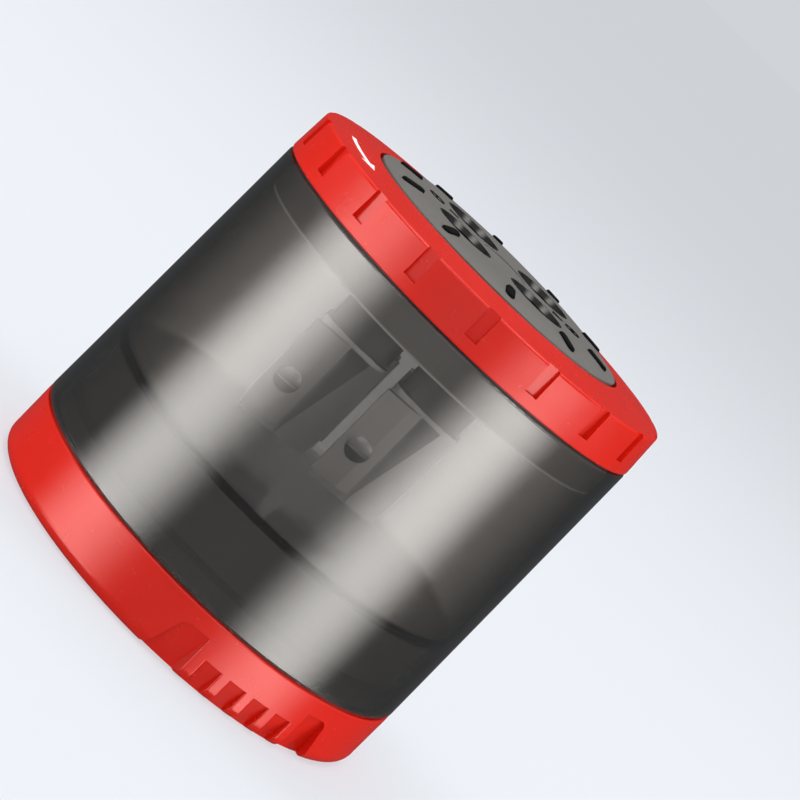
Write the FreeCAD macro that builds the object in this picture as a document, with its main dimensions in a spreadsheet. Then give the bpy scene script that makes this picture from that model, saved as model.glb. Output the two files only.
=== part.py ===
import FreeCAD, Part
import math
import os

import Sketcher
from FreeCAD import Placement, Rotation, Vector

# Hand-turned tub pencil sharpener: a red base with a store cup, a smoked tub that pulls off it,
# and a red plug cap that carries four sharpeners under a turning dial.
# Millimetres, +Z up, origin at the middle of the standing ring, front of the object towards -Y.

doc = FreeCAD.newDocument("tub_pencil_sharpener")
dims = doc.addObject("Spreadsheet::Sheet", "dims")

SIZES = {
    # Clearances shared by all pieces
    "slide_gap": 0.3,
    "seam_gap": 0.45,
    "seam_depth": 1.3,
    "rest_gap": 0.02,
    "fit_gap": 0.05,
    "running_gap": 0.06,
    "cut_spare": 1.0,
    # Red base and its finger grips
    "base_diameter": 75.0,
    "base_height": 10.6,
    "base_edge_round": 2.2,
    "base_wall": 3.4,
    "base_floor": 2.2,
    "foot_width": 5.0,
    "foot_recess": 0.8,
    "seam_round": 0.3,
    "grip_azimuth": -60.5,
    "rib_pitch": 4.95,
    "rib_width": 1.8,
    "rib_round": 0.25,
    "inner_pocket_height": 5.1,
    "inner_pocket_depth": 1.9,
    "inner_pocket_lip": 0.35,
    "outer_pocket_height": 7.8,
    "outer_pocket_depth": 2.6,
    "outer_pocket_lip": 0.5,
    "outer_pocket_width": 4.4,
    "outer_pocket_flank": 2.4,
    "outer_pocket_round": 1.8,
    # Store cup in the base
    "liner_wall": 1.5,
    "liner_floor": 1.6,
    "hoop_height": 4.0,
    "hoop_lead": 1.0,
    "liner_boss_diameter": 5.2,
    "liner_boss_height": 4.0,
    "base_screw_circle": 54.0,
    "base_screw_count": 3,
    # Smoked tub
    "mouth_diameter": 73.0,
    "container_height": 53.7,
    "container_wall": 1.8,
    "bin_floor_height": 15.3,
    "bin_floor": 1.2,
    "bin_floor_round": 1.2,
    # Red cap
    "cap_height": 7.9,
    "cap_draft": 0.45,
    "cap_ring_width": 10.25,
    "cap_top_wall": 1.8,
    "cap_crown": 1.05,
    "cap_edge_round": 0.5,
    "notch_count": 18,
    "notch_width": 2.4,
    "notch_depth": 0.55,
    "notch_foot": 2.1,
    "notch_azimuth": -83.5,
    "cap_boss_diameter": 3.2,
    "cap_screw_count": 4,
    "cap_screw_bite": 3.1,
    # Carrier under the cap
    "deck_thickness": 2.0,
    "plug_depth": 5.7,
    "plug_wall": 1.6,
    "sleeve_wall": 1.8,
    "spigot_length": 3.0,
    "spigot_wall": 1.0,
    # Sharpener blocks and blades
    "hole_spacing": 15.3,
    "bore_diameter": 8.4,
    "tip_diameter": 1.4,
    "cone_half_angle": 11.5,
    "cone_lead": 1.5,
    "tip_land": 1.3,
    "bin_clearance": 5.1,
    "block_width": 13.0,
    "block_depth": 10.8,
    "block_round": 3.0,
    "blade_relief": 10.0,
    "throat_relief": 35.0,
    "blade_length": 18.0,
    "blade_width": 7.0,
    "blade_thickness": 0.8,
    "blade_bevel": 2.2,
    "blade_rise": 0.6,
    "blade_hole_inset": 3.8,
    "blade_hole_drop": 10.0,
    # Dial with its grip bars and pivot
    "dial_gap": 0.6,
    "dial_lift": 0.25,
    "dial_stand": 0.2,
    "dial_crown": 1.0,
    "funnel_depth": 0.8,
    "funnel_angle": 35.0,
    "bush_rim": 0.35,
    "bush_border": 0.5,
    "bar_count": 10,
    "bar_width": 1.8,
    "bar_length": 4.4,
    "bar_margin": 2.2,
    "bar_azimuth": -80.2,
    "bar_sink": 0.5,
    "bar_proud": 0.4,
    "bar_round": 0.35,
    "post_diameter": 6.0,
    "hub_thickness": 0.8,
    "hub_lift": 0.12,
    "washer_diameter": 7.2,
    "washer_thickness": 0.25,
    "pivot_cap_diameter": 8.8,
    "pivot_cap_ledge": 0.5,
    # Screws: plain shanks and slotted pan heads
    "screw_diameter": 2.0,
    "screw_head_diameter": 4.4,
    "screw_head_height": 0.9,
    "screw_length": 4.4,
    "screw_slot_width": 0.6,
    "screw_slot_depth": 0.45,
}

for row, (name, size) in enumerate(SIZES.items(), start=1):
    dims.set(f"A{row}", name)
    dims.set(f"B{row}", str(size))
    dims.setAlias(f"B{row}", name)
doc.recompute()

# Radii of the tub's wall
BASE_R = "(dims.base_diameter / 2)"
MOUTH_R = "(dims.mouth_diameter / 2)"


def tub_inner_radius(level):
    """Inner radius of the tub's tapered wall at a level."""
    rise = f"({level} - dims.base_height) / dims.container_height"
    return f"({BASE_R} - ({BASE_R} - {MOUTH_R}) * {rise} - dims.container_wall)"


# Levels above the table
BASE_FLOOR_TOP = "(dims.foot_recess + dims.base_floor)"
SEAM = "dims.base_height"
TUB_FOOT = "(dims.base_height + dims.seam_gap)"
RIM = "(dims.base_height + dims.container_height)"
BIN_FLOOR_TOP = "(dims.base_height + dims.bin_floor_height)"
BIN_FLOOR_UNDER = f"({BIN_FLOOR_TOP} - dims.bin_floor)"
LINER_TOP = f"({BIN_FLOOR_UNDER} - dims.slide_gap)"
FLANGE_TOP = f"({TUB_FOOT} - dims.rest_gap)"
PLUG_FLANGE = f"({RIM} + dims.rest_gap)"
CAP_FOOT = f"({RIM} + dims.seam_gap)"
CAP_EDGE = f"({RIM} + dims.cap_height)"
CAP_WELL_EDGE = f"({CAP_EDGE} + dims.cap_crown)"
DECK_TOP = f"({CAP_EDGE} - dims.cap_top_wall)"
DECK_UNDER = f"({DECK_TOP} - dims.deck_thickness)"
PLUG_FOOT = f"({RIM} - dims.plug_depth)"
CONE_LENGTH = f"((dims.bore_diameter - dims.tip_diameter) / 2 / tan(dims.cone_half_angle * 1 deg))"
BLOCK_FOOT = f"({BIN_FLOOR_TOP} + dims.bin_clearance)"
BLOCK_LENGTH = f"(dims.tip_land + {CONE_LENGTH} + dims.cone_lead)"
BLOCK_TOP = f"({BLOCK_FOOT} + {BLOCK_LENGTH})"
CONE_TOP = f"({BLOCK_TOP} - dims.cone_lead)"
CONE_TIP = f"({BLOCK_FOOT} + dims.tip_land)"
DIAL_UNDER = f"({DECK_TOP} + dims.dial_lift)"
DIAL_EDGE = f"({CAP_WELL_EDGE} + dims.dial_stand)"
DIAL_TOP = f"({DIAL_EDGE} + dims.dial_crown)"
HUB_TOP = f"({DIAL_UNDER} + dims.hub_thickness)"
POST_TOP = f"({HUB_TOP} + dims.hub_lift)"
WASHER_TOP = f"({POST_TOP} + dims.washer_thickness)"
PIVOT_CAP_FOOT = f"({WASHER_TOP} + dims.screw_head_height + dims.hub_lift)"
BAR_HEIGHT = "(dims.bar_sink + dims.bar_proud)"

# Radii from the axis
BASE_BORE_R = "(dims.base_diameter / 2 - dims.base_wall)"
LINER_R = "(dims.base_diameter / 2 - dims.base_wall - dims.fit_gap)"
PLUG_R = f"(min({tub_inner_radius(RIM)}; {tub_inner_radius(PLUG_FOOT)}) - dims.slide_gap)"
PLUG_BORE_R = f"({PLUG_R} - dims.plug_wall)"
CAP_BORE_R = f"({PLUG_R} + dims.fit_gap)"
CAP_TOP_R = f"({MOUTH_R} - dims.cap_draft)"
DIAL_WELL_R = f"({CAP_TOP_R} - dims.cap_ring_width)"
DIAL_R = f"({DIAL_WELL_R} - dims.dial_gap)"
BORE_R = "(dims.bore_diameter / 2)"
SLEEVE_R = "(dims.bore_diameter / 2 + dims.sleeve_wall)"
DIAL_HOLE_R = "(dims.bore_diameter / 2 + dims.slide_gap)"
FUNNEL_R = f"({DIAL_HOLE_R} + dims.funnel_depth * tan(dims.funnel_angle * 1 deg))"
BUSH_R = f"({FUNNEL_R} + dims.bush_rim)"
HOLE_CIRCLE_R = "(dims.hole_spacing / sqrt(2))"
DIAL_FLAT_R = f"({HOLE_CIRCLE_R} + {BUSH_R} + dims.bush_border)"
DIAL_BEND_R = f"((({DIAL_R} - {DIAL_FLAT_R})^2 + dims.dial_crown^2) / (2 * dims.dial_crown))"
BAR_MIDDLE_R = f"({DIAL_R} - dims.bar_margin - dims.bar_length / 2)"
POST_R = "(dims.post_diameter / 2)"
SHANK_R = "(dims.screw_diameter / 2)"
HEAD_R = "(dims.screw_head_diameter / 2)"
PILOT_R = "(dims.screw_diameter / 2 + dims.fit_gap)"
CAP_SCREW_R = f"({PLUG_BORE_R} - {HEAD_R} - dims.slide_gap)"


def value(expression):
    """Number that an expression on the sheet gives."""
    return float(dims.evalExpression(expression))


def new_body(label):
    """Body of one piece, which may hold several like solids."""
    body = doc.addObject("PartDesign::Body", label)
    body.Label = label
    body.AllowCompound = True
    return body


def origin_feature(body, role):
    """Plane or axis of a body's own origin."""
    return next(item for item in body.Origin.OriginFeatures if item.Role == role)


def new_sketch(body, name, plane, level=None):
    """Empty sketch on an origin plane, raised to a level along the plane's normal."""
    sketch = body.newObject("Sketcher::SketchObject", name)
    sketch.AttachmentSupport = (origin_feature(body, plane), "")
    sketch.MapMode = "FlatFace"
    if level:
        sketch.setExpression("AttachmentOffset.Base.z", level)
    return sketch


def add_outline(sketch, corners, crown=None):
    """Closed outline; every corner is a pair of expressions.

    The side that starts at corner number crown is an arc, level at its end."""
    points = [Vector(value(x), value(y), 0) for x, y in corners]
    count = len(points)
    first = sketch.GeometryCount
    for index, start in enumerate(points):
        end = points[(index + 1) % count]
        side = Part.LineSegment(start, end)
        if index == crown:
            rise = end.y - start.y
            middle = Vector(end.x, end.y - ((start.x - end.x) ** 2 + rise**2) / (2 * rise), 0)
            circle = Part.Circle(middle, Vector(0, 0, 1), (start - middle).Length)
            side = Part.ArcOfCircle(circle, circle.parameter(start), circle.parameter(end))
        sketch.addGeometry(side, False)
    for index in range(count):
        following = first + (index + 1) % count
        sketch.addConstraint(Sketcher.Constraint("Coincident", first + index, 2, following, 1))
    for index, corner in enumerate(corners):
        for kind, expression in zip(("DistanceX", "DistanceY"), corner):
            distance = Sketcher.Constraint(kind, -1, 1, first + index, 1, value(expression))
            number = sketch.addConstraint(distance)
            sketch.setExpression(f"Constraints[{number}]", expression)
    if crown is not None:
        sketch.addConstraint(Sketcher.Constraint("Vertical", first + crown, 3, first + crown, 2))


def add_circle(sketch, x, y, radius):
    """Circle whose centre and radius are expressions."""
    centre = Vector(value(x), value(y), 0)
    item = sketch.addGeometry(Part.Circle(centre, Vector(0, 0, 1), value(radius)), False)
    for constraint, expression in (
        (Sketcher.Constraint("DistanceX", -1, 1, item, 3, centre.x), x),
        (Sketcher.Constraint("DistanceY", -1, 1, item, 3, centre.y), y),
        (Sketcher.Constraint("Radius", item, value(radius)), radius),
    ):
        number = sketch.addConstraint(constraint)
        sketch.setExpression(f"Constraints[{number}]", expression)


def add_bar(sketch, length, width):
    """Bar with round ends along the horizontal axis, about the sketch's origin."""
    radius = value(width) / 2
    far = Vector(value(length) / 2 - radius, 0, 0)
    near = -far
    up = Vector(0, radius, 0)
    quarter = math.pi / 2
    normal = Vector(0, 0, 1)
    sketch.addGeometry(Part.ArcOfCircle(Part.Circle(near, normal, radius), quarter, 3 * quarter), False)
    sketch.addGeometry(Part.LineSegment(near - up, far - up), False)
    sketch.addGeometry(Part.ArcOfCircle(Part.Circle(far, normal, radius), -quarter, quarter), False)
    sketch.addGeometry(Part.LineSegment(far + up, near + up), False)
    for index in range(4):
        sketch.addConstraint(Sketcher.Constraint("Tangent", index, 2, (index + 1) % 4, 1))
    for arc, expression in ((0, f"({width} - {length}) / 2"), (2, f"({length} - {width}) / 2")):
        sketch.addConstraint(Sketcher.Constraint("PointOnObject", arc, 3, -1))
        number = sketch.addConstraint(Sketcher.Constraint("DistanceX", -1, 1, arc, 3, value(expression)))
        sketch.setExpression(f"Constraints[{number}]", expression)
    number = sketch.addConstraint(Sketcher.Constraint("Radius", 0, radius))
    sketch.setExpression(f"Constraints[{number}]", f"{width} / 2")


def turned(body, name, corners, crown=None, cut=False):
    """Solid, or cut, of revolution about the body's vertical axis."""
    sketch = new_sketch(body, name + "_outline", "XZ_Plane")
    add_outline(sketch, corners, crown)
    feature = body.newObject("PartDesign::Groove" if cut else "PartDesign::Revolution", name)
    feature.Profile = sketch
    feature.ReferenceAxis = (sketch, ["V_Axis"])
    feature.Angle = 360
    doc.recompute()
    return feature


def pad(body, sketch, name, length, downwards=False):
    """Solid raised from a sketch."""
    feature = body.newObject("PartDesign::Pad", name)
    feature.Profile = sketch
    feature.setExpression("Length", length)
    feature.Reversed = downwards
    doc.recompute()
    return feature


def pocket(body, sketch, name, length, outwards=False, both_ways=False):
    """Cut against the sketch's normal, along it when outwards, or half each way."""
    before = body.Tip.Shape.Volume
    feature = body.newObject("PartDesign::Pocket", name)
    feature.Profile = sketch
    feature.setExpression("Length", length)
    feature.Reversed = outwards
    feature.Midplane = both_ways
    doc.recompute()
    if feature.Shape.Volume > before - 1e-6:
        raise ValueError(f"{body.Label}: {name} cuts nothing")
    return feature


def around(body, feature, count, whole=False):
    """Copies of a feature, or of the whole body so far, evenly round the vertical axis."""
    pattern = body.newObject("PartDesign::PolarPattern", feature.Name + "_ring")
    pattern.Originals = [feature]
    if whole:
        pattern.TransformMode = "Whole shape"
    pattern.Axis = (origin_feature(body, "Z_Axis"), [""])
    pattern.Angle = 360
    pattern.setExpression("Occurrences", count)
    body.Tip = pattern
    doc.recompute()
    return pattern


def rounded(body, base, name, radius, *rims):
    """Rounds the circular edges given by pairs of radius and level."""
    wanted = [(value(rim_radius), value(level)) for rim_radius, level in rims]
    edges = []
    for number, edge in enumerate(base.Shape.Edges, start=1):
        if not isinstance(edge.Curve, Part.Circle):
            continue
        for rim_radius, level in wanted:
            same_radius = abs(edge.Curve.Radius - rim_radius) < 1e-4
            if same_radius and abs(edge.Curve.Center.z - level) < 1e-4:
                edges.append(f"Edge{number}")
    feature = body.newObject("PartDesign::Fillet", name)
    feature.Base = (base, edges)
    feature.setExpression("Radius", radius)
    doc.recompute()
    return feature


def turn_sketch(sketch, angle):
    """Turns a sketch on the XZ plane about the vertical axis."""
    degrees = value(angle)
    sketch.AttachmentOffset = Placement(Vector(), Rotation(Vector(0, 1, 0), degrees))


def make_base_shell():
    """Red dish with a standing ring, three screw holes and a ribbed finger grip on two sides."""
    foot_inner = f"({BASE_R} - dims.base_edge_round - dims.foot_width)"
    body = new_body("base_blank")
    blank = turned(body, "base_turned", [
        ("0", "dims.foot_recess"),
        (foot_inner, "dims.foot_recess"),
        (foot_inner, "0"),
        (BASE_R, "0"),
        (BASE_R, SEAM),
        (BASE_BORE_R, SEAM),
        (BASE_BORE_R, BASE_FLOOR_TOP),
        ("0", BASE_FLOOR_TOP),
    ])
    blank = rounded(body, blank, "base_foot_round", "dims.base_edge_round", (BASE_R, "0"))
    rounded(body, blank, "base_seam_round", "dims.seam_round", (BASE_R, SEAM))
    for name, radius, depth in (
        ("base_screw_hole", PILOT_R, BASE_FLOOR_TOP),
        ("base_screw_seat", f"{HEAD_R} + dims.slide_gap", "dims.foot_recess + dims.screw_head_height"),
    ):
        sketch = new_sketch(body, name + "_outline", "XY_Plane")
        add_circle(sketch, "0", "dims.base_screw_circle / 2", radius)
        hole = pocket(body, sketch, name, depth, outwards=True)
        around(body, hole, "dims.base_screw_count")

    half_rib = "dims.rib_width / 2"
    low = "-dims.cut_spare"
    top = "dims.inner_pocket_height"
    gaps = []
    for gap in (-2, -1, 0, 1):
        left = f"{gap} * dims.rib_pitch + {half_rib}"
        right = f"{gap + 1} * dims.rib_pitch - {half_rib}"
        gaps.append([(left, low), (right, low), (right, top), (left, top)])
    inner = grip_pockets("inner_pocket", gaps)

    top = "dims.outer_pocket_height"
    shoulder = f"(2 * dims.rib_pitch + {half_rib} + dims.outer_pocket_width)"
    flanks = []
    for side in (-1, 1):
        near = f"{side} * (2 * dims.rib_pitch + {half_rib})"
        foot = f"{side} * ({shoulder} + dims.outer_pocket_flank)"
        flanks.append([(near, low), (foot, low), (f"{side} * {shoulder}", top), (near, top)])
    outer = grip_pockets("outer_pocket", flanks, value(shoulder))

    ribbed = body
    for pockets in (inner, outer):
        cut = doc.addObject("Part::Cut", pockets.Name + "_cut")
        cut.Base = ribbed
        cut.Tool = pockets
        ribbed = cut
    doc.recompute()

    sideways = grip_facing().multVec(Vector(1, 0, 0))
    edges = []
    for number, edge in enumerate(ribbed.Shape.Edges, start=1):
        faces = ribbed.Shape.ancestorsOfType(edge, Part.Face)
        flat = [face for face in faces if isinstance(face.Surface, Part.Plane)]
        round_side = [
            face for face in faces
            if isinstance(face.Surface, Part.Cylinder) and abs(face.Surface.Radius - value(BASE_R)) < 1e-4
        ]
        if flat and round_side and abs(flat[0].normalAt(0, 0).dot(sideways)) > 0.999:
            radius = value("dims.rib_round")
            edges.append((number, radius, radius))
    shell = doc.addObject("Part::Fillet", "base_shell")
    shell.Label = "base_shell"
    shell.Base = ribbed
    shell.Edges = edges
    doc.recompute()
    return shell


def grip_facing():
    """Turn of an upright sketch that looks along the finger grips."""
    return Rotation(Vector(0, 0, 1), value("dims.grip_azimuth") + 90) * Rotation(Vector(1, 0, 0), 90)


def grip_pockets(name, outlines, shoulder=None):
    """Pockets in both sides of the base, deeper towards the table.

    The outlines are seen along the grips; their top corners at a shoulder's distance are rounded."""
    height, depth, lip = (f"dims.{name}_{size}" for size in ("height", "depth", "lip"))
    facing = grip_facing()
    sketch = doc.addObject("Sketcher::SketchObject", name + "_outline")
    sketch.Placement = Placement(Vector(), facing)
    for outline in outlines:
        add_outline(sketch, outline)
    prism = doc.addObject("Part::Extrusion", name + "_prism")
    prism.Base = sketch
    prism.DirMode = "Normal"
    prism.Solid = True
    prism.setExpression("LengthFwd", f"{BASE_R} + dims.cut_spare")
    prism.setExpression("LengthRev", f"{BASE_R} + dims.cut_spare")
    doc.recompute()
    if shoulder:
        outward = facing.multVec(Vector(0, 0, 1))
        sideways = facing.multVec(Vector(1, 0, 0))
        radius = value("dims.outer_pocket_round")
        corners = []
        for number, edge in enumerate(prism.Shape.Edges, start=1):
            middle = edge.CenterOfMass
            along = abs(edge.tangentAt(edge.FirstParameter).dot(outward)) > 0.999
            at_top = abs(middle.z - value(height)) < 1e-4
            if along and at_top and abs(abs(middle.dot(sideways)) - shoulder) < 1e-4:
                corners.append((number, radius, radius))
        soft = doc.addObject("Part::Fillet", name + "_soft")
        soft.Base = prism
        soft.Edges = corners
        prism = soft

    lean = f"({depth} - {lip}) / {height}"
    outside = doc.addObject("Part::Cylinder", name + "_outside")
    outside.setExpression("Radius", f"{BASE_R} + 2 * dims.cut_spare")
    floor = doc.addObject("Part::Cone", name + "_floor")
    floor.setExpression("Radius1", f"{BASE_R} - {depth} - {lean} * dims.cut_spare")
    floor.setExpression("Radius2", f"{BASE_R} - {lip} + {lean} * dims.cut_spare")
    for solid in (outside, floor):
        solid.setExpression("Height", f"{height} + 2 * dims.cut_spare")
        solid.setExpression("Placement.Base.z", "-dims.cut_spare")
    band = doc.addObject("Part::Cut", name + "_band")
    band.Base = outside
    band.Tool = floor
    pockets = doc.addObject("Part::Common", name)
    pockets.Base = band
    pockets.Tool = prism
    doc.recompute()
    return pockets


def make_base_liner():
    """Black store cup that stands in the base; the tub stands on its flange, guided by its hoop."""
    liner_bore = f"({LINER_R} - dims.liner_wall)"
    flange_r = f"({BASE_R} - dims.seam_depth)"
    hoop_top = f"({FLANGE_TOP} + dims.hoop_height)"
    hoop_r = f"(min({tub_inner_radius(TUB_FOOT)}; {tub_inner_radius(hoop_top)}) - dims.slide_gap)"
    floor_top = f"({BASE_FLOOR_TOP} + dims.liner_floor)"
    body = new_body("base_liner")
    turned(body, "liner_turned", [
        ("0", BASE_FLOOR_TOP),
        (LINER_R, BASE_FLOOR_TOP),
        (LINER_R, SEAM),
        (flange_r, SEAM),
        (flange_r, FLANGE_TOP),
        (hoop_r, FLANGE_TOP),
        (hoop_r, f"{hoop_top} - dims.hoop_lead"),
        (LINER_R, hoop_top),
        (LINER_R, LINER_TOP),
        (liner_bore, LINER_TOP),
        (liner_bore, floor_top),
        ("0", floor_top),
    ])
    boss = new_sketch(body, "liner_boss_outline", "XY_Plane", floor_top)
    add_circle(boss, "0", "dims.base_screw_circle / 2", "dims.liner_boss_diameter / 2")
    raised = pad(body, boss, "liner_boss", "dims.liner_boss_height")
    around(body, raised, "dims.base_screw_count")
    pilot = new_sketch(body, "liner_pilot_outline", "XY_Plane", BASE_FLOOR_TOP)
    add_circle(pilot, "0", "dims.base_screw_circle / 2", PILOT_R)
    hole = pocket(body, pilot, "liner_pilot", "dims.screw_length", outwards=True)
    around(body, hole, "dims.base_screw_count")
    return body


def make_container():
    """Smoked tub, narrower at its mouth, with a floor that leaves room for the store cup."""
    body = new_body("container")
    tub = turned(body, "container_turned", [
        (BASE_R, TUB_FOOT),
        (MOUTH_R, RIM),
        (f"{MOUTH_R} - dims.container_wall", RIM),
        (tub_inner_radius(BIN_FLOOR_TOP), BIN_FLOOR_TOP),
        ("0", BIN_FLOOR_TOP),
        ("0", BIN_FLOOR_UNDER),
        (tub_inner_radius(BIN_FLOOR_UNDER), BIN_FLOOR_UNDER),
        (tub_inner_radius(TUB_FOOT), TUB_FOOT),
    ])
    corner = (tub_inner_radius(BIN_FLOOR_TOP), BIN_FLOOR_TOP)
    tub = rounded(body, tub, "bin_corner_round", "dims.bin_floor_round", corner)
    rounded(body, tub, "tub_edge_soft", "dims.seam_round", (MOUTH_R, RIM), (BASE_R, TUB_FOOT))
    return body


def make_cap_shell():
    """Red cap with a well for the dial, grip notches round its skirt and bosses for the carrier."""
    body = new_body("cap_shell")
    shell = turned(body, "cap_turned", [
        (CAP_BORE_R, CAP_FOOT),
        (MOUTH_R, CAP_FOOT),
        (CAP_TOP_R, CAP_EDGE),
        (DIAL_WELL_R, CAP_WELL_EDGE),
        (DIAL_WELL_R, DECK_TOP),
        (CAP_BORE_R, DECK_TOP),
    ])
    rounded(body, shell, "cap_foot_soft", "dims.seam_round", (MOUTH_R, CAP_FOOT))

    notch = new_sketch(body, "notch_outline", "XZ_Plane")
    turn_sketch(notch, "dims.notch_azimuth")
    notch_floor = f"{CAP_TOP_R} - dims.notch_depth"
    notch_foot = f"{CAP_FOOT} + dims.notch_foot"
    beyond = f"{MOUTH_R} + dims.notch_depth"
    notch_top = f"{CAP_WELL_EDGE} + dims.cut_spare"
    add_outline(notch, [
        (notch_floor, notch_foot),
        (beyond, notch_foot),
        (beyond, notch_top),
        (notch_floor, notch_top),
    ])
    cut = pocket(body, notch, "notch", "dims.notch_width", both_ways=True)
    notched = around(body, cut, "dims.notch_count")
    rounded(body, notched, "cap_edge_soft", "dims.cap_edge_round", (CAP_TOP_R, CAP_EDGE))

    boss = new_sketch(body, "cap_boss_outline", "XY_Plane", DECK_TOP)
    add_circle(boss, CAP_SCREW_R, "0", "dims.cap_boss_diameter / 2")
    raised = pad(body, boss, "cap_boss", "dims.deck_thickness", downwards=True)
    around(body, raised, "dims.cap_screw_count")
    pilot = new_sketch(body, "cap_pilot_outline", "XY_Plane", DECK_UNDER)
    add_circle(pilot, CAP_SCREW_R, "0", PILOT_R)
    hole = pocket(body, pilot, "cap_pilot", "dims.cap_screw_bite", outwards=True)
    around(body, hole, "dims.cap_screw_count")
    return body


def make_carrier():
    """Black carrier: a deck with a plug skirt and flange, the dial's post and four pencil sleeves."""
    flange_r = f"({MOUTH_R} - dims.seam_depth)"
    body = new_body("carrier")
    turned(body, "carrier_turned", [
        ("0", DECK_UNDER),
        (PLUG_BORE_R, DECK_UNDER),
        (PLUG_BORE_R, PLUG_FOOT),
        (PLUG_R, PLUG_FOOT),
        (PLUG_R, PLUG_FLANGE),
        (flange_r, PLUG_FLANGE),
        (flange_r, CAP_FOOT),
        (PLUG_R, CAP_FOOT),
        (PLUG_R, DECK_TOP),
        (POST_R, DECK_TOP),
        (POST_R, POST_TOP),
        ("0", POST_TOP),
    ])
    half = "dims.hole_spacing / 2"
    sleeve = new_sketch(body, "sleeve_outline", "XY_Plane", DECK_UNDER)
    add_circle(sleeve, half, half, SLEEVE_R)
    tube = pad(body, sleeve, "sleeve", f"{DECK_UNDER} - {BLOCK_TOP}", downwards=True)
    around(body, tube, "4")
    for name, radius, depth in (
        ("sleeve_bore", BORE_R, f"{DECK_TOP} - {BLOCK_TOP}"),
        ("sleeve_socket", f"{BORE_R} + dims.spigot_wall + dims.fit_gap", "dims.spigot_length + dims.fit_gap"),
    ):
        sketch = new_sketch(body, name + "_outline", "XY_Plane", BLOCK_TOP)
        add_circle(sketch, half, half, radius)
        hole = pocket(body, sketch, name, depth, outwards=True)
        around(body, hole, "4")
    boss_hole = new_sketch(body, "boss_hole_outline", "XY_Plane", DECK_TOP)
    add_circle(boss_hole, CAP_SCREW_R, "0", "dims.cap_boss_diameter / 2 + dims.fit_gap")
    hole = pocket(body, boss_hole, "boss_hole", "dims.deck_thickness")
    around(body, hole, "dims.cap_screw_count")
    pilot = new_sketch(body, "post_pilot_outline", "XY_Plane", POST_TOP)
    add_circle(pilot, "0", "0", PILOT_R)
    pocket(body, pilot, "post_pilot", f"{POST_TOP} - {DECK_UNDER}")
    return body


def edge_frame(relief):
    """Place of a plane through the pencil cone's outermost line, tipped about that line.

    Its X axis crosses the blade towards the throat and its Y axis runs up the line."""
    lean = Rotation(Vector(0, 1, 0), value("dims.cone_half_angle"))
    stand = Rotation(Vector(1, 1, 1), 120)
    tip = Rotation(Vector(0, 1, 0), value(relief))
    return Placement(Vector(value(BORE_R), 0, value(CONE_TOP)), lean * stand * tip)


def make_sharpener_block(label):
    """Metal wedge block: spigot, pencil cone, slanted blade seat, open throat and screw hole."""
    body = new_body(label)
    half_depth = "dims.block_depth / 2"
    half_width = "dims.block_width / 2"
    plan = new_sketch(body, label + "_plan", "XY_Plane", BLOCK_FOOT)
    add_outline(plan, [
        (f"-{half_depth}", f"-{half_width}"),
        (half_depth, f"-{half_width}"),
        (half_depth, half_width),
        (f"-{half_depth}", half_width),
    ])
    blank = pad(body, plan, label + "_blank", BLOCK_LENGTH)
    upright = [
        f"Edge{number}"
        for number, edge in enumerate(blank.Shape.Edges, start=1)
        if abs(edge.tangentAt(edge.FirstParameter).z) > 0.999
    ]
    soft = body.newObject("PartDesign::Fillet", label + "_corners")
    soft.Base = (blank, upright)
    soft.setExpression("Radius", "dims.block_round")
    doc.recompute()
    spigot = new_sketch(body, label + "_spigot_plan", "XY_Plane", BLOCK_TOP)
    add_circle(spigot, "0", "0", f"{BORE_R} + dims.spigot_wall")
    pad(body, spigot, label + "_spigot", "dims.spigot_length")
    above = f"{BLOCK_TOP} + dims.spigot_length"
    turned(body, label + "_bore", [
        ("0", BLOCK_FOOT),
        ("dims.tip_diameter / 2", BLOCK_FOOT),
        ("dims.tip_diameter / 2", CONE_TIP),
        (BORE_R, CONE_TOP),
        (BORE_R, above),
        ("0", above),
    ], cut=True)
    seat_top = "dims.blade_rise + dims.slide_gap"
    seat_foot = f"-2 * {BLOCK_LENGTH}"
    for name, relief, near, far in (
        ("seat", "dims.blade_relief", "-dims.block_width", "dims.block_width"),
        ("throat", "dims.throat_relief", "0", "dims.block_width"),
    ):
        sketch = new_sketch(body, f"{label}_{name}_outline", "XY_Plane")
        sketch.AttachmentOffset = edge_frame(relief)
        add_outline(sketch, [(near, seat_foot), (far, seat_foot), (far, seat_top), (near, seat_top)])
        pocket(body, sketch, f"{label}_{name}", "2 * dims.block_depth", outwards=True)
    hole = new_sketch(body, label + "_screw_hole_outline", "XY_Plane")
    hole.AttachmentOffset = edge_frame("dims.blade_relief")
    add_circle(hole, "-dims.blade_hole_inset", "-dims.blade_hole_drop", PILOT_R)
    pocket(body, hole, label + "_screw_hole", "dims.screw_length")
    return body


def make_blade(label):
    """Flat steel blade, ground to an edge along one long side, with a hole for its screw."""
    body = new_body(label)
    section = new_sketch(body, label + "_section", "XZ_Plane", "-dims.blade_rise")
    add_outline(section, [
        ("-dims.blade_width", "0"),
        ("0", "0"),
        ("-dims.blade_bevel", "dims.blade_thickness"),
        ("-dims.blade_width", "dims.blade_thickness"),
    ])
    pad(body, section, label + "_bar", "dims.blade_length")
    hole = new_sketch(body, label + "_hole_outline", "XY_Plane", "dims.blade_thickness")
    add_circle(hole, "-dims.blade_hole_inset", "-dims.blade_hole_drop", PILOT_R)
    pocket(body, hole, label + "_hole", "dims.blade_thickness")
    return body


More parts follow.
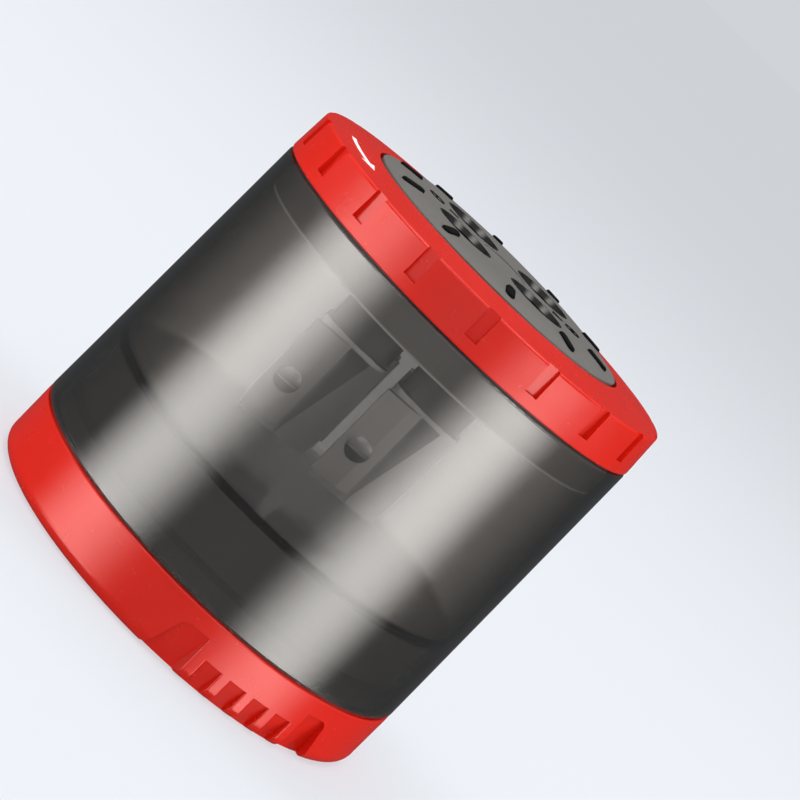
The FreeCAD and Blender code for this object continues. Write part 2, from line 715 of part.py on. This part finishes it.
def make_screw(label, grip):
    """Slotted screw, head up, whose head seats at the origin and whose shank passes through the grip."""
    body = new_body(label)
    turned(body, label + "_turned", [
        ("0", f"-({grip})"),
        (SHANK_R, f"-({grip})"),
        (SHANK_R, "0"),
        (HEAD_R, "0"),
        (HEAD_R, "dims.screw_head_height / 2"),
        ("0", "dims.screw_head_height"),
    ], crown=4)
    slot = new_sketch(body, label + "_slot_outline", "XY_Plane", "dims.screw_head_height")
    add_slot(slot)
    pocket(body, slot, label + "_slot", "dims.screw_slot_depth")
    return body


def add_slot(sketch):
    """Outline of a driver slot right across a screw's head, about the sketch's origin."""
    long = f"{HEAD_R} + dims.cut_spare"
    half = "dims.screw_slot_width / 2"
    add_outline(sketch, [
        (f"-({long})", f"-{half}"),
        (long, f"-{half}"),
        (long, half),
        (f"-({long})", half),
    ])


def turned_ring(label, ring_radius, count, azimuth, corners, slot_level=None):
    """Like turned solids in a ring; the corners are about the axis of the one at the azimuth.

    A driver slot is cut upwards from the slot's level."""
    body = new_body(label)
    sketch = new_sketch(body, label + "_outline", "XZ_Plane")
    turn = Rotation(Vector(0, 1, 0), azimuth)
    sketch.AttachmentOffset = Placement(turn.multVec(Vector(value(ring_radius), 0, 0)), turn)
    add_outline(sketch, corners)
    solid = body.newObject("PartDesign::Revolution", label + "_turned")
    solid.Profile = sketch
    solid.ReferenceAxis = (sketch, ["V_Axis"])
    solid.Angle = 360
    doc.recompute()
    if slot_level:
        slot = new_sketch(body, label + "_slot_outline", "XY_Plane")
        bearing = Rotation(Vector(0, 0, 1), azimuth)
        spot = bearing.multVec(Vector(value(ring_radius), 0, value(slot_level)))
        slot.AttachmentOffset = Placement(spot, bearing)
        add_slot(slot)
        solid = pocket(body, slot, label + "_slot", "dims.screw_slot_depth", outwards=True)
    around(body, solid, count, whole=True)
    return body


def make_screw_ring(label, ring_radius, count, seat, grip, azimuth):
    """Like screws in a ring, heads down at one level, as separate solids."""
    crest = f"({seat} - dims.screw_head_height)"
    return turned_ring(label, ring_radius, count, azimuth, [
        ("0", crest),
        (HEAD_R, f"{seat} - dims.screw_head_height / 2"),
        (HEAD_R, seat),
        (SHANK_R, seat),
        (SHANK_R, f"{seat} + {grip}"),
        ("0", f"{seat} + {grip}"),
    ], crest)


def make_hole_bushes():
    """Black bushes that line the dial's pencil holes, each with a funnel mouth."""
    return turned_ring("hole_bushes", HOLE_CIRCLE_R, "4", 45, [
        (DIAL_HOLE_R, DIAL_UNDER),
        (BUSH_R, DIAL_UNDER),
        (BUSH_R, DIAL_TOP),
        (FUNNEL_R, DIAL_TOP),
        (DIAL_HOLE_R, f"{DIAL_TOP} - dims.funnel_depth"),
    ])


def make_dial():
    """Grey crowned dial with four bushed pencil holes, seats for the grip bars and a hub recess."""
    body = new_body("dial")
    turned(body, "dial_turned", [
        ("0", DIAL_UNDER),
        (DIAL_R, DIAL_UNDER),
        (DIAL_R, DIAL_EDGE),
        (DIAL_FLAT_R, DIAL_TOP),
        ("0", DIAL_TOP),
    ], crown=2)
    recess_r = "dims.pivot_cap_diameter / 2 - dims.pivot_cap_ledge"
    cap_seat_r = "dims.pivot_cap_diameter / 2 + dims.fit_gap"
    hub_r = f"{POST_R} + dims.running_gap"
    over = f"{DIAL_TOP} + dims.dial_crown"
    turned(body, "hub_recess", [
        ("0", DIAL_UNDER),
        (hub_r, DIAL_UNDER),
        (hub_r, HUB_TOP),
        (recess_r, HUB_TOP),
        (recess_r, PIVOT_CAP_FOOT),
        (cap_seat_r, PIVOT_CAP_FOOT),
        (cap_seat_r, over),
        ("0", over),
    ], cut=True)

    half = "dims.hole_spacing / 2"
    plain = new_sketch(body, "pencil_hole_outline", "XY_Plane", DIAL_TOP)
    add_circle(plain, half, half, f"{BUSH_R} + dims.fit_gap")
    hole = pocket(body, plain, "pencil_hole", f"{DIAL_TOP} - {DIAL_UNDER}")
    around(body, hole, "4")

    seat = new_sketch(body, "bar_seat_outline", "XY_Plane")
    seat.AttachmentOffset = bar_frame()
    add_bar(seat, "(dims.bar_length + 2 * dims.fit_gap)", "(dims.bar_width + 2 * dims.fit_gap)")
    cut = pocket(body, seat, "bar_seat", f"2 * {BAR_HEIGHT}", outwards=True)
    around(body, cut, "dims.bar_count")
    return body


def bar_frame():
    """Place of the first grip bar's foot, tipped to lie along the dial's crown."""
    bend = value(DIAL_BEND_R)
    reach = value(f"{BAR_MIDDLE_R} - {DIAL_FLAT_R}")
    level = value(f"{DIAL_TOP} - {DIAL_BEND_R} - dims.bar_sink") + math.sqrt(bend**2 - reach**2)
    bearing = Rotation(Vector(0, 0, 1), value("dims.bar_azimuth"))
    lean = Rotation(Vector(0, 1, 0), math.degrees(math.asin(reach / bend)))
    return Placement(bearing.multVec(Vector(value(BAR_MIDDLE_R), 0, level)), bearing * lean)


def make_grip_bars():
    """Black rubber bars, set in the dial in a ring and standing a little proud of it."""
    body = new_body("grip_bars")
    plan = new_sketch(body, "bar_outline", "XY_Plane")
    plan.AttachmentOffset = bar_frame()
    add_bar(plan, "dims.bar_length", "dims.bar_width")
    bar = pad(body, plan, "bar", BAR_HEIGHT)
    top = max(bar.Shape.Faces, key=lambda face: face.CenterOfMass.z)
    rim = [
        f"Edge{number}"
        for number, edge in enumerate(bar.Shape.Edges, start=1)
        if any(edge.isSame(side) for side in top.Edges)
    ]
    soft = body.newObject("PartDesign::Fillet", "bar_soft")
    soft.Base = (bar, rim)
    soft.setExpression("Radius", "dims.bar_round")
    doc.recompute()
    around(body, soft, "dims.bar_count", whole=True)
    return body


def make_pivot_washer():
    """Flat steel washer on the post, which keeps the dial down."""
    body = new_body("pivot_washer")
    turned(body, "washer_turned", [
        (PILOT_R, POST_TOP),
        ("dims.washer_diameter / 2", POST_TOP),
        ("dims.washer_diameter / 2", WASHER_TOP),
        (PILOT_R, WASHER_TOP),
    ])
    return body


def make_pivot_cap():
    """Plain round cover pressed into the dial's middle over the pivot screw."""
    body = new_body("pivot_cap")
    radius = "dims.pivot_cap_diameter / 2"
    edge = f"{DIAL_TOP} - dims.seam_round / 2"
    turned(body, "pivot_cap_turned", [
        ("0", PIVOT_CAP_FOOT),
        (radius, PIVOT_CAP_FOOT),
        (radius, edge),
        ("0", f"{DIAL_TOP} + dims.seam_round / 2"),
    ], crown=2)
    return body


pieces = [
    make_base_shell(),
    make_base_liner(),
    make_screw_ring(
        "base_screws", "dims.base_screw_circle / 2", "dims.base_screw_count",
        "(dims.foot_recess + dims.screw_head_height)", "dims.screw_length", 90,
    ),
    make_container(),
    make_cap_shell(),
    make_carrier(),
    make_screw_ring(
        "carrier_screws", CAP_SCREW_R, "dims.cap_screw_count",
        DECK_UNDER, "dims.cap_screw_bite", 0,
    ),
]

half_spacing = value("dims.hole_spacing / 2")
for corner, side, row in (
    ("front_left", -1, -1),
    ("front_right", 1, -1),
    ("back_left", -1, 1),
    ("back_right", 1, 1),
):
    station = Placement(
        Vector(side * half_spacing, row * half_spacing, 0), Rotation(Vector(0, 0, 1), row * 90)
    )
    block = make_sharpener_block(f"sharpener_block_{corner}")
    block.Placement = station
    blade = make_blade(f"blade_{corner}")
    blade.Placement = station * edge_frame("dims.blade_relief")
    screw = make_screw(f"blade_screw_{corner}", "dims.screw_length")
    screw_seat = Vector(
        value("-dims.blade_hole_inset"), value("-dims.blade_hole_drop"), value("dims.blade_thickness")
    )
    screw.Placement = blade.Placement * Placement(screw_seat, Rotation())
    pieces += [block, blade, screw]

pivot_screw = make_screw("pivot_screw", "dims.screw_length / 2")
pivot_screw.setExpression("Placement.Base.z", WASHER_TOP)
pieces += [make_dial(), make_hole_bushes(), make_grip_bars()]
pieces += [make_pivot_washer(), pivot_screw, make_pivot_cap()]
doc.recompute()

for item in doc.Objects:
    if "Invalid" in item.State or "Error" in item.State:
        raise ValueError(f"{item.Label} failed: {item.State}")
for piece in pieces:
    if piece.Shape.isNull() or not piece.Shape.isValid() or not piece.Shape.Solids:
        raise ValueError(f"{piece.Label} has no valid solid")

os.makedirs("parts", exist_ok=True)
for piece in pieces:
    piece.Shape.exportStep(f"parts/{piece.Label}.step")
    print(piece.Label, len(piece.Shape.Solids), round(piece.Shape.Volume, 2))
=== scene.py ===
import math

import bpy
import numpy as np
from mathutils import Matrix, Vector


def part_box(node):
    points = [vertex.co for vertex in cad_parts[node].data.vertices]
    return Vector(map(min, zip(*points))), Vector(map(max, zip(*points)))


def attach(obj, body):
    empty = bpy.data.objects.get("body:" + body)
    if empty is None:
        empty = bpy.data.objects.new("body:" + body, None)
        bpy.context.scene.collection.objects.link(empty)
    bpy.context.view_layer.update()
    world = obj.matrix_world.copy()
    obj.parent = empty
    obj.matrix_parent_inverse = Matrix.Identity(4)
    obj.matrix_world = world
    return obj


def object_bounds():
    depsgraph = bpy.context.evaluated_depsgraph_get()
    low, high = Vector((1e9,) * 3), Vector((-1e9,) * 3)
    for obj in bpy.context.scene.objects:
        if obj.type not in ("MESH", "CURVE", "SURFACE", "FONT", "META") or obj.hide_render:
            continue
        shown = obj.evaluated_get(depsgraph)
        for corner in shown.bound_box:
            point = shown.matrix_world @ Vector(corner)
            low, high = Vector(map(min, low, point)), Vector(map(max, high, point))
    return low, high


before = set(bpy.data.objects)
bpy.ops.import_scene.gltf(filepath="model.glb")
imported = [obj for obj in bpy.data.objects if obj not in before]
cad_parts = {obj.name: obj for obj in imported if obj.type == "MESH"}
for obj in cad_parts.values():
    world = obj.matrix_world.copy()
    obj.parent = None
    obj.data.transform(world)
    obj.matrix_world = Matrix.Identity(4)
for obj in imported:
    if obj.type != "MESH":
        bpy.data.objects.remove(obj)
cad_low, cad_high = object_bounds()


# Red base: a moulded dish that holds the store cup, with ribbed finger grips in its side.
# Its satin red plastic is the same as the cap's, so the finish is made here for both.
class Wire:
    """One output in a material's node tree. Arithmetic on it adds Math nodes to that tree."""

    def __init__(self, tree, socket):
        self.tree = tree
        self.socket = socket

    def node(self, kind, settings, inputs, output=0):
        """Adds any other node, its settings first and then its sockets' values or links.

        Gives the output of the number or name that is asked for."""
        made = self.tree.nodes.new("ShaderNode" + kind)
        for name, setting in settings.items():
            if name == "stops":
                for stop, (place, colour) in zip(made.color_ramp.elements, setting):
                    stop.position = place
                    stop.color = colour
            else:
                setattr(made, name, setting)
        for name, given in inputs.items():
            if isinstance(given, Wire):
                self.tree.links.new(given.socket, made.inputs[name])
            else:
                made.inputs[name].default_value = given
        return Wire(self.tree, made.outputs[output])

    def maths(self, operation, first, second):
        """Adds a Math node on two values or wires."""
        return self.node("Math", {"operation": operation}, {0: first, 1: second})

    def __add__(self, other):
        return self.maths("ADD", self, other)

    def __radd__(self, other):
        return self.maths("ADD", other, self)

    def __sub__(self, other):
        return self.maths("SUBTRACT", self, other)

    def __rsub__(self, other):
        return self.maths("SUBTRACT", other, self)

    def __mul__(self, other):
        return self.maths("MULTIPLY", self, other)

    def __rmul__(self, other):
        return self.maths("MULTIPLY", other, self)


def new_finish(name, colour, roughness, **constants):
    """Material with one Principled shader, in a plain colour and roughness until something feeds them.

    Gives the material, its coordinates and a function that feeds the shader's sockets."""
    material = bpy.data.materials.new(name)
    material.use_nodes = True
    tree = material.node_tree
    shader = tree.nodes["Principled BSDF"]
    shader.inputs["Base Color"].default_value = (*colour, 1.0)
    shader.inputs["Roughness"].default_value = roughness
    for socket, number in constants.items():
        shader.inputs[socket.replace("_", " ")].default_value = number
    coordinates = tree.nodes.new("ShaderNodeTexCoord")
    place = Wire(tree, coordinates.outputs["Object"])

    def feed(socket, wire):
        tree.links.new(wire.socket, shader.inputs[socket])

    return material, place, feed


def noise(place, scale, detail=2.0, stretch=None):
    """Noise value about 0.5, at a scale in cells per metre, stretched along the axes if asked."""
    if stretch:
        place = place.node("Mapping", {}, {"Vector": place, "Scale": stretch})
    return place.node("TexNoise", {}, {"Vector": place, "Scale": scale, "Detail": detail})


def tinted(place, mask, low, high):
    """Colour that goes from low to high with a mask."""
    settings = {"stops": ((0.25, (*low, 1.0)), (0.75, (*high, 1.0)))}
    return place.node("ValToRGB", settings, {"Fac": mask})


def grained(place, feed, height, distance, strength):
    """Fine relief of a moulded or cast skin, as a bump on the normal."""
    bump = place.node("Bump", {}, {"Height": height, "Distance": distance, "Strength": strength})
    feed("Normal", bump)


def dress(material, *nodes):
    """Gives CAD nodes a finish in place of their plain one."""
    for node in nodes:
        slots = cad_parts[node].data.materials
        slots.clear()
        slots.append(material)


red, place, feed = new_finish(
    "red_satin_plastic", (0.63, 0.011, 0.003), 0.26, Specular_IOR_Level=0.42,
)
feed("Base Color", tinted(place, noise(place, 55.0), (0.61, 0.01, 0.002), (0.65, 0.012, 0.004)))
feed("Roughness", 0.22 + 0.08 * noise(place, 380.0))
grained(place, feed, noise(place, 3200.0, 3.0), 0.00002, 0.06)
dress(red, "base_shell", "cap_shell")


# Store cup and carrier: moulded pieces, screwed into the base from below and into the cap.
# The cup is black. The carrier has a black flange in the cap's seam and a grey plug skirt that closes
# the tub's mouth, and the skirt's lower rim is painted lighter as a painted highlight of light caught on
# its edge.
black, place, feed = new_finish("black_moulded_plastic", (0.03, 0.0275, 0.0255), 0.5)
feed("Base Color", tinted(place, noise(place, 70.0), (0.027, 0.025, 0.023), (0.033, 0.03, 0.028)))
feed("Roughness", 0.42 + 0.14 * noise(place, 600.0))
grained(place, feed, noise(place, 2600.0, 3.0), 0.00005, 0.4)
dress(black, "base_liner")


def changing(height, start, end):
    """Mask that goes from 0 at one height to 1 at another, and stays there."""
    return height.node("MapRange", {}, {"Value": height, "From Min": start, "From Max": end})


skirt, place, feed = new_finish("plug_grey_plastic", (0.2, 0.196, 0.19), 0.42)
plug_foot = 0.0586
painted_highlight_band = 0.0005
seam_foot = 0.0642
blend = 0.0001
height = place.node("SeparateXYZ", {}, {0: place}, "Z")
# Painted highlight: the lowest half millimetre of the skirt is painted lighter, in place of light caught
# on its rim.
painted_highlight = changing(height, plug_foot + painted_highlight_band, plug_foot)
above = changing(height, plug_foot - 2 * blend, plug_foot - blend)
skirted = changing(height, seam_foot + blend, seam_foot)
flange_tone = 0.05
skirt_step = 0.3
# How much lighter the painted highlight on the skirt's rim is.
painted_highlight_step = 0.5
tone = flange_tone + skirted * (skirt_step + painted_highlight_step * painted_highlight * above) + 0.06 * noise(place, 70.0)
feed("Base Color", tinted(place, tone, (0.012, 0.0115, 0.011), (0.8, 0.79, 0.77)))
feed("Roughness", 0.36 + 0.12 * noise(place, 600.0))
grained(place, feed, noise(place, 2600.0, 3.0), 0.00004, 0.3)
dress(skirt, "carrier")


# Smoked tub: clear dark plastic, polished outside and in, that shows the sharpeners dimly.
# It is moulded in one piece with its floor, and its foot stands on the store cup's flange.
# The smoke is in the plastic, so the wall is darker where it is seen at a slant.
smoked, place, feed = new_finish(
    "smoked_clear_plastic", (0.9, 0.9, 0.9), 0.05,
    Transmission_Weight=0.985, IOR=1.01, Coat_Weight=1.0, Coat_Roughness=0.15, Coat_IOR=1.7,
)
feed("Base Color", tinted(place, noise(place, 26.0), (0.88, 0.88, 0.88), (0.92, 0.92, 0.92)))
feed("Roughness", 0.03 + 0.05 * noise(place, 240.0))
smoke = place.node("VolumeAbsorption", {}, {"Color": (0.12, 0.06, 0.0, 1.0), "Density": 410.0})
smoked.node_tree.links.new(smoke.socket, smoked.node_tree.nodes["Material Output"].inputs["Volume"])
dress(smoked, "container")


# Sharpeners: four cast light-alloy blocks, each with a ground steel blade under a screw.
# The blocks hang by their spigots in the carrier's sleeves.
corners = ("front_left", "front_right", "back_left", "back_right")
alloy, place, feed = new_finish("cast_light_alloy", (0.72, 0.72, 0.73), 0.5, Metallic=0.8)
feed("Base Color", tinted(place, noise(place, 300.0), (0.69, 0.69, 0.7), (0.75, 0.75, 0.76)))
feed("Roughness", 0.42 + 0.16 * noise(place, 900.0))
grained(place, feed, noise(place, 3000.0, 3.0), 0.00006, 0.4)
dress(alloy, *[f"sharpener_block_{corner}" for corner in corners])

ground, place, feed = new_finish("ground_blade_steel", (0.8, 0.8, 0.8), 0.45, Metallic=0.8)
streaks = noise(place, 900.0, 2.0, (6.0, 1.0, 0.6))
feed("Base Color", tinted(place, streaks, (0.77, 0.77, 0.77), (0.83, 0.83, 0.83)))
feed("Roughness", 0.38 + 0.14 * streaks)
grained(place, feed, streaks, 0.00002, 0.15)
dress(ground, *[f"blade_{corner}" for corner in corners])

bolt, place, feed = new_finish("plain_screw_steel", (0.5, 0.5, 0.51), 0.32, Metallic=1.0)
feed("Base Color", tinted(place, noise(place, 700.0), (0.44, 0.44, 0.45), (0.56, 0.56, 0.57)))
feed("Roughness", 0.24 + 0.16 * noise(place, 1200.0))
fasteners = ["base_screws", "carrier_screws", "pivot_washer", "pivot_screw"]
dress(bolt, *fasteners, *[f"blade_screw_{corner}" for corner in corners])


# Dial: a grey crowned disc that turns in the cap's well to open or close the pencil holes.
# Ten black rubber bars are set in it for grip, and a plain round cover hides its pivot.
grey, place, feed = new_finish("dial_grey_plastic", (0.129, 0.12, 0.111), 0.42)
feed("Base Color", tinted(place, noise(place, 90.0), (0.123, 0.114, 0.105), (0.135, 0.126, 0.117)))
feed("Roughness", 0.36 + 0.12 * noise(place, 500.0))
grained(place, feed, noise(place, 2800.0, 3.0), 0.00004, 0.3)
dress(grey, "dial", "pivot_cap")

bush, place, feed = new_finish(
    "bush_gloss_black", (0.004, 0.004, 0.004), 0.2, Specular_IOR_Level=0.4,
)
feed("Base Color", tinted(place, noise(place, 400.0), (0.003, 0.003, 0.003), (0.006, 0.006, 0.006)))
feed("Roughness", 0.14 + 0.12 * noise(place, 900.0))
dress(bush, "hole_bushes")

rubber, place, feed = new_finish(
    "bar_black_rubber", (0.004, 0.004, 0.004), 0.65, Specular_IOR_Level=0.05,
)
feed("Base Color", tinted(place, noise(place, 400.0), (0.003, 0.003, 0.003), (0.006, 0.006, 0.006)))
feed("Roughness", 0.58 + 0.14 * noise(place, 1500.0))
grained(place, feed, noise(place, 3500.0, 3.0), 0.00005, 0.4)
dress(rubber, "grip_bars")


# Marks: a raised ring and numeral at each end of the dial's middle line, with a dash and a pointer
# beside them, and a plain white arrow printed on the cap's ring that shows which way the dial turns.
def stroke(line, width, level, proud, closed=False):
    """Points and faces of a raised stroke along a line p(i), with a width w(i).

    Its sides are p + w n / 2 and p - w n / 2, where n is the line's direction t turned by 90 degrees.
    It goes from just under the surface z = level(x, y) to proud above it."""
    line = np.asarray(line, dtype=float)
    ahead = np.roll(line, -1, 0) - np.roll(line, 1, 0) if closed else np.gradient(line, axis=0)
    ahead /= np.linalg.norm(ahead, axis=1)[:, None]
    aside = np.column_stack((-ahead[:, 1], ahead[:, 0]))
    offset = aside * np.broadcast_to(width, len(line))[:, None] / 2
    rails = []
    for side, height in ((-1, -proud), (-1, proud), (1, proud), (1, -proud)):
        flat = line + side * offset
        rails.append(np.column_stack((flat, level(*flat.T) + height)))
    points = np.stack(rails, axis=1).reshape(-1, 3)
    count = len(line)
    near = 4 * np.arange(count if closed else count - 1)[:, None]
    far = (near + 4) % (4 * count)
    rail = np.arange(4)
    following = (rail + 1) % 4
    faces = np.stack((near + rail, far + rail, far + following, near + following), axis=2).reshape(-1, 4)
    if not closed:
        ends = np.stack((rail, 4 * count - 1 - rail))
        faces = np.vstack((faces, ends))
    return points, faces


def printed(name, strokes, material, body):
    """One piece of several strokes that rides on a body."""
    point_sets, face_sets = zip(*strokes)
    starts = np.cumsum([0] + [len(points) for points in point_sets])
    faces = np.vstack([faces + start for faces, start in zip(face_sets, starts)])
    mesh = bpy.data.meshes.new(name)
    mesh.from_pydata(np.vstack(point_sets).tolist(), [], faces.tolist())
    mesh.materials.append(material)
    piece = bpy.data.objects.new(name, mesh)
    bpy.context.scene.collection.objects.link(piece)
    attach(piece, body)


def arc(x, y, radius, start, end, count):
    """Points on a circle about (x, y) from one azimuth to another, in degrees."""
    turn = np.radians(np.linspace(start, end, count))
    return np.column_stack((x + radius * np.cos(turn), y + radius * np.sin(turn)))


dial_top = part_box("hole_bushes")[1].z
mark_place = 0.0148
mark_radius = 0.0014
mark_points = 48
numeral_size = 0.0007
line_width = 0.0003
dash = [(-0.0121, 0.0), (-0.0101, 0.0)]
dash_width = 0.0005
pointer = [(0.0105, 0.0), (0.0127, 0.0)]
pointer_widths = (0.0018, 0.0001)
raised = 0.00012


def on_dial(x, y):
    """Height of the dial's flat middle."""
    return np.full_like(x, dial_top)


one = np.array([(-0.35, 0.55), (0.0, 0.9), (0.0, 0.0), (0.0, -0.9)])
bow = arc(0.0, 0.4, 0.5, 165.0, -40.0, 12)
two = np.vstack((bow, [(-0.5, -0.9), (0.0, -0.9), (0.5, -0.9)]))
marks = []
for side, numeral in ((-1, one), (1, two)):
    mark_middle = (side * mark_place, 0.0)
    ring = arc(*mark_middle, mark_radius, 0.0, 360.0 - 360.0 / mark_points, mark_points)
    marks.append(stroke(ring, line_width, on_dial, raised, closed=True))
    marks.append(stroke(numeral_size * numeral + mark_middle, line_width, on_dial, raised))
marks.append(stroke(dash, dash_width, on_dial, raised))
marks.append(stroke(pointer, pointer_widths, on_dial, raised))
printed("dial_marks", marks, rubber, "dial")

well_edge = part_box("cap_shell")[1].z
well_radius = 0.0258
ring_fall = 0.00105
ring_width = 0.01025
arrow_radius = 0.031
arrow_tail = -166.0
arrow_neck = -145.0
arrow_point = -140.0
shaft_width = 0.0008
head_width = 0.0026
point_width = 0.0001
ink = 0.00004


def on_ring(x, y):
    """Height of the cap's ring, which falls evenly from the well's edge.

    z = well_edge - slope (r - well_radius), where slope = ring_fall / ring_width and r^2 = x^2 + y^2."""
    return well_edge - ring_fall / ring_width * (np.hypot(x, y) - well_radius)


white, place, feed = new_finish("white_print", (0.86, 0.86, 0.85), 0.5)
feed("Base Color", tinted(place, noise(place, 500.0), (0.82, 0.82, 0.81), (0.88, 0.88, 0.87)))
feed("Roughness", 0.42 + 0.16 * noise(place, 900.0))
shaft_line = arc(0.0, 0.0, arrow_radius, arrow_tail, arrow_neck, 24)
head_line = arc(0.0, 0.0, arrow_radius, arrow_neck, arrow_point, 8)
head_widths = np.linspace(head_width, point_width, len(head_line))
shaft = stroke(shaft_line, shaft_width, on_ring, ink)
head = stroke(head_line, head_widths, on_ring, ink)
printed("cap_arrow", [shaft, head], white, "cap")


# Studio: a plain pale floor, low softboxes that draw the bright bands on the tub, high ones that shine
# into the funnel holes, broad lamps from above, the front and both sides, and the camera at the
# photograph's angle, rolled so that the tub leans.
floor_size = 80.0
half = floor_size / 2
floor_corners = [(-half, -half, 0), (half, -half, 0), (half, half, 0), (-half, half, 0)]
floor_mesh = bpy.data.meshes.new("floor")
floor_mesh.from_pydata(floor_corners, [], [(0, 1, 2, 3)])
floor = bpy.data.objects.new("floor", floor_mesh)
bpy.context.scene.collection.objects.link(floor)
floor.visible_glossy = False
pale_paint = new_finish(
    "floor_pale_paint", (0.24, 0.25, 0.262), 0.9,
    Emission_Color=(0.92, 0.95, 1.0, 1.0), Emission_Strength=0.56, Specular_IOR_Level=0.0,
)[0]
floor_mesh.materials.append(pale_paint)


def softbox(name, centre, across, rise, radiance):
    """Glowing panel seen in reflections only; its glow fades smoothly to both ends of across.

    Corner = centre +- across / 2 +- rise / 2. Glow = radiance (4 u (1 - u))^3, with u along across."""
    halves = ((-0.5, -0.5), (0.5, -0.5), (0.5, 0.5), (-0.5, 0.5))
    panel_corners = [centre + across * u + rise * v for u, v in halves]
    mesh = bpy.data.meshes.new(name)
    mesh.from_pydata(panel_corners, [], [(3, 2, 1, 0)])
    places = mesh.uv_layers.new(name="across")
    places.data.foreach_set("uv", [0, 1, 1, 1, 1, 0, 0, 0])
    panel = bpy.data.objects.new(name, mesh)
    bpy.context.scene.collection.objects.link(panel)
    panel.visible_camera = False
    panel.visible_shadow = False
    panel.visible_diffuse = False
    material = bpy.data.materials.new(name + "_glow")
    material.use_nodes = True
    tree = material.node_tree
    tree.nodes.clear()
    uv = Wire(tree, tree.nodes.new("ShaderNodeTexCoord").outputs["UV"])
    u = uv.node("SeparateXYZ", {}, {0: uv})
    arch = 4.0 * u * (1 - u)
    glow = arch * arch * arch
    emission = u.node("Emission", {}, {"Color": (1.0, 0.965, 0.93, 1.0), "Strength": glow * radiance})
    output = tree.nodes.new("ShaderNodeOutputMaterial")
    tree.links.new(emission.socket, output.inputs["Surface"])
    mesh.materials.append(material)


panel_turn = 56.0
panel_distance = 0.7
panel_width = 1.04
panel_glow = 7.2
low_row = {"ending": "", "level": -0.2, "height": 0.6}
high_row = {"ending": "_high", "level": 1.2, "height": 0.9}
for name, side in (("softbox_left", -1), ("softbox_right", 1)):
    turn = math.radians(panel_turn * side)
    away = Vector((math.sin(turn), -math.cos(turn), 0))
    across = Vector((math.cos(turn), math.sin(turn), 0))
    for row in (low_row, high_row):
        centre = away * panel_distance + Vector((0, 0, row["level"]))
        rise = Vector((0, 0, row["height"]))
        softbox(name + row["ending"], centre, across * panel_width, rise, panel_glow)

middle = Vector((0.0, 0.0, (cad_low.z + cad_high.z) / 2))


def lamp(name, spot, width, power):
    """Broad square lamp that faces the object's middle and shows in no reflection."""
    light = bpy.data.lights.new(name, "AREA")
    light.size = width
    light.energy = power
    stand = bpy.data.objects.new(name, light)
    stand.location = spot
    stand.rotation_euler = (middle - Vector(spot)).to_track_quat("-Z", "Y").to_euler()
    stand.visible_camera = False
    stand.visible_glossy = False
    bpy.context.scene.collection.objects.link(stand)


lamp("top_light", (0.0, 0.1, 0.95), 0.8, 6.5)
lamp("front_light", (0.0, -1.2, 0.5), 1.0, 7.0)
lamp("left_light", (-1.1, 0.1, 0.3), 0.6, 9.0)
lamp("right_light", (1.1, 0.1, 0.3), 0.6, 9.0)

# The dome is dim near the ground and bright overhead. The camera sees a plain backdrop in its place,
# and so do rays that pass through the tub.
world = bpy.data.worlds.new("studio")
bpy.context.scene.world = world
world.use_nodes = True
sky = Wire(world.node_tree, world.node_tree.nodes.new("ShaderNodeTexCoord").outputs["Generated"])
height = sky.node("SeparateXYZ", {}, {0: sky}, "Z")
limits = {"Value": height, "From Min": 0.3, "From Max": 0.95, "To Min": 0.1, "To Max": 1.0}
dome = height.node("MapRange", {"interpolation_type": "SMOOTHSTEP"}, limits)
seen = sky.node("LightPath", {}, {}, "Is Camera Ray")
through = sky.node("LightPath", {}, {}, "Is Transmission Ray")
dome_strength = 0.75
backdrop_strength = 0.68
strength_through_tub = 0.85
backdrop = backdrop_strength * seen + strength_through_tub * through
brightness = dome_strength * dome * (1 - seen - through) + backdrop
surround = world.node_tree.nodes["Background"]
surround.inputs["Color"].default_value = (0.93, 0.96, 1.0, 1.0)
world.node_tree.links.new(brightness.socket, surround.inputs["Strength"])

camera_stand = Vector((0.0, -0.5038, 0.1267))
camera_pitch = -8.921
camera_yaw = 0.384
camera_roll = 44.85
camera_lens = 146.0
pitch, yaw, roll = (math.radians(angle) for angle in (camera_pitch, camera_yaw, camera_roll))
ahead = Vector((math.sin(yaw) * math.cos(pitch), math.cos(yaw) * math.cos(pitch), math.sin(pitch)))
level = Vector((math.cos(yaw), -math.sin(yaw), 0))
upright = level.cross(ahead)
across = level * math.cos(roll) + upright * math.sin(roll)
over = upright * math.cos(roll) - level * math.sin(roll)
view = bpy.data.cameras.new("camera")
view.lens = camera_lens
view.sensor_width = 36.0
camera = bpy.data.objects.new("camera", view)
facing = Matrix((across, over, -ahead)).transposed().to_4x4()
camera.matrix_world = Matrix.Translation(camera_stand) @ facing
bpy.context.scene.collection.objects.link(camera)
bpy.context.scene.camera = camera
bpy.context.scene.view_settings.view_transform = "Standard"
